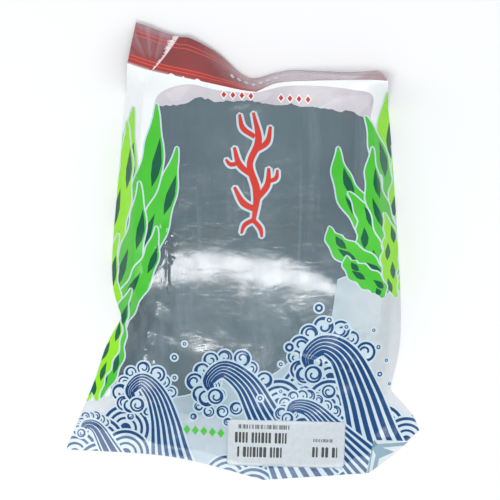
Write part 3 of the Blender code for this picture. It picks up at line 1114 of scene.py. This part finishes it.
def film_materials():
    return {
        "white": film_material("white_ink", (0.9, 0.94, 0.95), (0.95, 0.98, 0.97), (0.88, 0.95)),
        # Painted light: a pale layer for the lit back panel seen through the film above the kelp.
        "painted_back_light": film_material("painted_back_light_film", (0.72, 0.66, 0.71), (0.84, 0.8, 0.84), (0.62, 0.8), 0.28, 1.45),
        # Painted light: lighter facets over that layer.
        "painted_facet_light": film_material("painted_facet_light_film", (0.75, 0.71, 0.76), (0.87, 0.84, 0.875), (0.66, 0.82), 0.28, 1.45),
        "clear": film_material("clear_film", (0.17, 0.27, 0.34), (0.21, 0.31, 0.38), (0.23, 0.33), 0.18, 2.6,
                               crumple=0.22),
        "pale": film_material("pale_ink", (0.46, 0.6, 0.67), (0.57, 0.7, 0.76), (0.62, 0.78), 0.3, 1.36, 1.0,
                              PALER),
        "faint": film_material("reverse_print", (0.12, 0.27, 0.36), (0.2, 0.38, 0.46), (0.8, 0.9), 0.26, 1.42),
        "foam": film_material("foam_ink", (0.47, 0.62, 0.7), (0.55, 0.69, 0.76), (0.92, 0.97), 0.22, 1.35, 0.4,
                              PALER),
        "lime": film_material("lime_ink", (0.25, 0.72, 0.01), (0.31, 0.8, 0.015), (0.97, 0.99), 0.24, 1.3),
        "green": film_material("green_ink", (0.05, 0.48, 0.03), (0.09, 0.56, 0.045), (0.97, 0.99), 0.22, 1.38),
        "deep": film_material("deep_green_ink", (0.004, 0.085, 0.045), (0.008, 0.13, 0.06), (0.95, 0.98), 0.24, 1.35),
        "blue": film_material("blue_ink", (0.004, 0.046, 0.16), (0.01, 0.07, 0.215), (0.95, 0.98), 0.22, 1.34),
        "red": film_material("red_ink", (0.56, 0.03, 0.018), (0.64, 0.042, 0.025), (0.95, 0.98), 0.2, 1.4),
        # The header inks take the painted mauve sheen.
        "maroon": film_material("maroon_ink", (0.22, 0.03, 0.032), (0.3, 0.045, 0.045), (0.98, 0.99), 0.24, 1.7, 1.0),
        "brick": film_material("brick_ink", (0.34, 0.028, 0.024), (0.4, 0.04, 0.03), (0.98, 0.99), 0.24, 1.7, 1.0),
        "stripe": film_material("stripe_ink", (0.68, 0.08, 0.065), (0.74, 0.1, 0.08), (0.98, 0.99), 0.24, 1.6, 0.45),
        # Painted highlight along the header's crease, with cracked ink.
        "scuffs_and_sheen": crease_highlight_material(),
    }


def crease_highlight_material():
    """Painted highlight along a sharp crease, with the ink cracked there: pale flecks over maroon."""
    nodes = Nodes("crease_highlight_and_cracked_ink")
    flecks = nodes.noise(900, 5, 0.75, (1.0, 0.5, 1.0))
    colour = nodes.ramp(flecks, (0.34, (0.45, 0.2, 0.21)), (0.45, (0.76, 0.62, 0.63)), (0.56, (0.88, 0.81, 0.82)))
    nodes.link(colour, nodes.shader.inputs["Base Color"])
    nodes.link(nodes.remap(flecks, 0.3, 0.7, 0.35, 0.6), nodes.shader.inputs["Roughness"])
    nodes.link(film_bump(nodes, 0.08), nodes.shader.inputs["Normal"])
    return nodes.material


def back_materials(printed):
    """The back panel: the same inks, but white all over under the header."""
    plain = film_material("back_film", (0.66, 0.58, 0.63), (0.76, 0.7, 0.74), (0.94, 0.97), 0.22)
    return {layer: plain if layer == "white" else material for layer, material in printed.items()}


def kelp_material():
    """Dry kelp: slate olive, streaked along its length, with a dusty bloom and a leathery skin."""
    nodes = Nodes("dried_kelp")
    shader = nodes.shader
    streaks = nodes.noise(150, 7, 0.72, (1.0, 0.16, 1.0), 1.2)
    base = nodes.ramp(
        streaks, (0.3, (0.035, 0.058, 0.062)), (0.52, (0.054, 0.09, 0.104)), (0.74, (0.12, 0.165, 0.188))
    )
    patches = nodes.ramp(
        nodes.noise(26, 6, 0.7), (0.34, (0.2, 0.12, 0.045)), (0.42, (0.075, 0.105, 0.1)), (0.52, (0.05, 0.1, 0.115)),
        (0.66, (0.025, 0.085, 0.075))
    )
    bloom = nodes.ramp(streaks, (0.3, (0.15, 0.19, 0.22)), (0.7, (0.25, 0.3, 0.34)))
    dusty = nodes.remap(nodes.noise(48, 5, 0.7, (1.0, 0.14, 1.0), 0.8), 0.5, 0.74, 0, 0.75)
    cloud = nodes.ramp(nodes.noise(11, 3, 0.6, (1.0, 0.7, 1.0)), (0.36, (0.02, 0.045, 0.05)), (0.64, (0.1, 0.15, 0.17)))
    colour = nodes.blend_colours(nodes.blend_colours(base, patches, 0.55), cloud, 0.45)
    nodes.link(nodes.blend_colours(colour, bloom, dusty), shader.inputs["Base Color"])
    shader.inputs["IOR"].default_value = 1.4
    nodes.link(nodes.remap(streaks, 0.3, 0.8, 0.45, 0.65), shader.inputs["Roughness"])
    skin = nodes.bump(nodes.noise(260, 5, 0.6), 0.25, 0.0004)
    folds = nodes.bump(nodes.noise(45, 4, 0.55, (1.0, 0.35, 1.0), 0.8), 0.7, 0.002, skin)
    nodes.link(nodes.bump(streaks, 0.4, 0.0008, folds), shader.inputs["Normal"])
    return nodes.material


def label_materials():
    paper = Nodes("sticker_paper")
    fibre = paper.noise(420, 3)
    paper.link(paper.ramp(fibre, (0.3, (0.53, 0.58, 0.61)), (0.7, (0.59, 0.64, 0.67))), paper.shader.inputs["Base Color"])
    paper.link(paper.remap(paper.noise(80), 0.3, 0.7, 0.3, 0.42), paper.shader.inputs["Roughness"])
    paper.link(paper.bump(fibre, 0.08, 0.0002), paper.shader.inputs["Normal"])
    ink = Nodes("sticker_marks")
    scuffs_and_sheen = ink.noise(900, 2)
    ink.link(ink.ramp(scuffs_and_sheen, (0.35, grey(0.02)), (0.7, grey(0.07))), ink.shader.inputs["Base Color"])
    ink.link(ink.remap(scuffs_and_sheen, 0.3, 0.7, 0.4, 0.55), ink.shader.inputs["Roughness"])
    return paper.material, ink.material


def floor_material():
    nodes = Nodes("pale_floor")
    tone = nodes.noise(3, 2)
    nodes.link(nodes.ramp(tone, (0.3, grey(0.9)), (0.7, grey(0.92))), nodes.shader.inputs["Base Color"])
    nodes.shader.inputs["Roughness"].default_value = 0.7
    return nodes.material


# ---------------------------------------------------------------- sticker

LABEL_TURN = math.radians(-1.5)
LABEL_CORNER = 2.6
# Rows of dark ticks that stand for the sticker's lines of print: middle, length and height.
LABEL_ROWS = [
    ((-13.0, 9.7), 30, 2.6),
    ((-15.0, 3.2), 30, 6.4),
    ((-15.5, -5.4), 26, 6.2),
    ((21.5, 2.4), 11, 2.0),
    ((22.5, -4.6), 14, 6.2),
]


def label_ticks():
    """Narrow upright ticks of uneven width in each row, with a wider gap here and there."""
    draw = np.random.default_rng(SEED)
    ticks = []
    for (x, y), length, height in LABEL_ROWS:
        reach = x - length / 2
        while reach < x + length / 2:
            width = height * draw.uniform(0.12, 0.3)
            ticks.append(rounded_box(width, height, width / 3, 2) + [reach + width / 2, y])
            reach += width + height * draw.choice([0.1, 0.1, 0.1, 0.1, 0.35])
    return ticks


def rounded_box(width, height, corner, steps=6):
    places = []
    for cx, cy, start in ((1, 1, 0), (-1, 1, 90), (-1, -1, 180), (1, -1, 270)):
        for step in range(steps + 1):
            turn = math.radians(start + 90 * step / steps)
            x = cx * (width / 2 - corner) + corner * math.cos(turn)
            y = cy * (height / 2 - corner) + corner * math.sin(turn)
            places.append((x, y))
    return np.array(places)


def label_piece():
    """The sticker: rounded corners, plain dark bars for its lines, and the film's own curve."""
    paper, ink = label_materials()
    middle = (label_low + label_high) / 2
    width = (label_high.x - label_low.x) / MM - 0.6
    height = 27.5
    shapes = [rounded_box(width, height, LABEL_CORNER)]
    shapes += label_ticks()
    gx, gy = np.meshgrid(np.linspace(-width / 2 + 0.8, width / 2 - 0.8, 60), np.linspace(-12.9, 12.9, 26))
    inner = np.stack([gx.ravel(), gy.ravel()], -1)
    off = np.abs(inner) - [width / 2 - LABEL_CORNER, height / 2 - LABEL_CORNER]
    inner = inner[np.hypot(np.maximum(off[:, 0], 0), np.maximum(off[:, 1], 0)) < LABEL_CORNER - 0.5]
    local, triangles, owner = cut_sheet(inner, shapes)
    cos, sin = math.cos(LABEL_TURN), math.sin(LABEL_TURN)
    x = middle.x + (local[:, 0] * cos - local[:, 1] * sin) * MM
    y = middle.y + (local[:, 0] * sin + local[:, 1] * cos) * MM
    across, up = locate(x, y)
    z = surface(across, up)[:, 2] + 0.25 * MM
    z += 0.12 * MM * np.sin(local[:, 0] / 7.0) * np.sin(local[:, 1] / 9.0 + 1.0) + 0.12 * MM
    mesh = bpy.data.meshes.new("sticker")
    mesh.from_pydata(np.stack([x, y, z], -1).tolist(), [], triangles.tolist())
    mesh.materials.append(paper)
    mesh.materials.append(ink)
    mesh.polygons.foreach_set("material_index", (owner > 0).astype(np.int32))
    mesh.shade_smooth()
    piece = bpy.data.objects.new("sticker", mesh)
    bpy.context.scene.collection.objects.link(piece)
    thick = piece.modifiers.new("thickness", "SOLIDIFY")
    thick.thickness = 0.15 * MM
    thick.offset = 1.0
    return piece


# ---------------------------------------------------------------- scene

CAMERA_HEIGHT = 1.4
VIEW_CENTRE = (4.1 * MM, 0.6 * MM)
METRES_PER_FRAME = 0.294


def add_camera():
    data = bpy.data.cameras.new("camera")
    data.sensor_width = 36.0
    data.lens = 36.0 * CAMERA_HEIGHT / METRES_PER_FRAME
    data.clip_end = 20
    camera = bpy.data.objects.new("camera", data)
    camera.location = (*VIEW_CENTRE, CAMERA_HEIGHT)
    bpy.context.scene.collection.objects.link(camera)
    bpy.context.scene.camera = camera


def add_light(name, place, target, size, power, colour=(1, 1, 1)):
    data = bpy.data.lights.new(name, "AREA")
    data.shape = "RECTANGLE"
    data.size, data.size_y = size
    data.energy = power
    data.color = colour
    light = bpy.data.objects.new(name, data)
    light.location = place
    light.rotation_euler = (Vector(target) - Vector(place)).to_track_quat("-Z", "Y").to_euler()
    bpy.context.scene.collection.objects.link(light)


def add_lights():
    add_light("band_left", (-0.11, -0.26, 1.15), (-0.11, -0.01, 0.02), (0.28, 0.28), 4.0)
    add_light("band_right", (0.14, -0.26, 1.15), (0.14, -0.01, 0.02), (0.22, 0.28), 1.7)
    add_light("left", (-1.5, 0.5, 1.0), (0, 0, 0), (1.2, 1.2), 5.2)
    add_light("right", (1.5, 0.6, 1.1), (0, 0, 0), (1.2, 1.2), 5.2)
    add_surroundings()


# The brighter patch of the studio in front of the pouch, that its sloping lower half mirrors: its direction,
# and the cosines of the angles where it fades out and where it is full.
PATCH = (0.0, -0.416, 0.909)
PATCH_FADE = (0.955, 0.992)
SURROUNDINGS = (0.6, 1.2)


def add_surroundings():
    """An even pale studio all round, with one soft brighter patch."""
    world = bpy.data.worlds.new("studio")
    bpy.context.scene.world = world
    world.use_nodes = True
    tree = world.node_tree
    place = tree.nodes.new("ShaderNodeTexCoord").outputs["Generated"]
    towards = tree.nodes.new("ShaderNodeVectorMath")
    towards.operation = "DOT_PRODUCT"
    towards.inputs[1].default_value = PATCH
    tree.links.new(place, towards.inputs[0])
    fade = tree.nodes.new("ShaderNodeMapRange")
    fade.interpolation_type = "SMOOTHSTEP"
    fade.inputs["From Min"].default_value, fade.inputs["From Max"].default_value = PATCH_FADE
    fade.inputs["To Min"].default_value, fade.inputs["To Max"].default_value = SURROUNDINGS
    tree.links.new(towards.outputs["Value"], fade.inputs["Value"])
    background = tree.nodes["Background"]
    background.inputs["Color"].default_value = (0.93, 0.96, 1.0, 1)
    tree.links.new(fade.outputs["Result"], background.inputs["Strength"])


def add_floor():
    mesh = bpy.data.meshes.new("floor")
    reach = 3.0
    mesh.from_pydata([(-reach, -reach, 0), (reach, -reach, 0), (reach, reach, 0), (-reach, reach, 0)], [], [(0, 1, 2, 3)])
    mesh.materials.append(floor_material())
    floor = bpy.data.objects.new("floor", mesh)
    bpy.context.scene.collection.objects.link(floor)


def main():
    add_camera()
    add_lights()
    add_floor()
    bpy.context.scene.view_settings.view_transform = "Standard"
    inks = film_materials()
    front = film_piece("film_front", front_print(), inks, True, 1.3)
    back = film_piece("film_back", back_print(), back_materials(inks), False, 3.0)
    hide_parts("bag")
    kelp = kelp_material()
    draw = np.random.default_rng(SEED)
    sheets = []
    for index, share in enumerate(KELP_LEVELS):
        inset = draw.uniform(0, 0.03, 4) * (index > 0)
        sheets.append(kelp_sheet(f"kelp_sheet_{index + 1}", draw, inset, share, kelp))
    sticker = label_piece()
    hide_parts("label")
    for piece in [front, back, sticker, *sheets]:
        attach(piece, "root")


main()
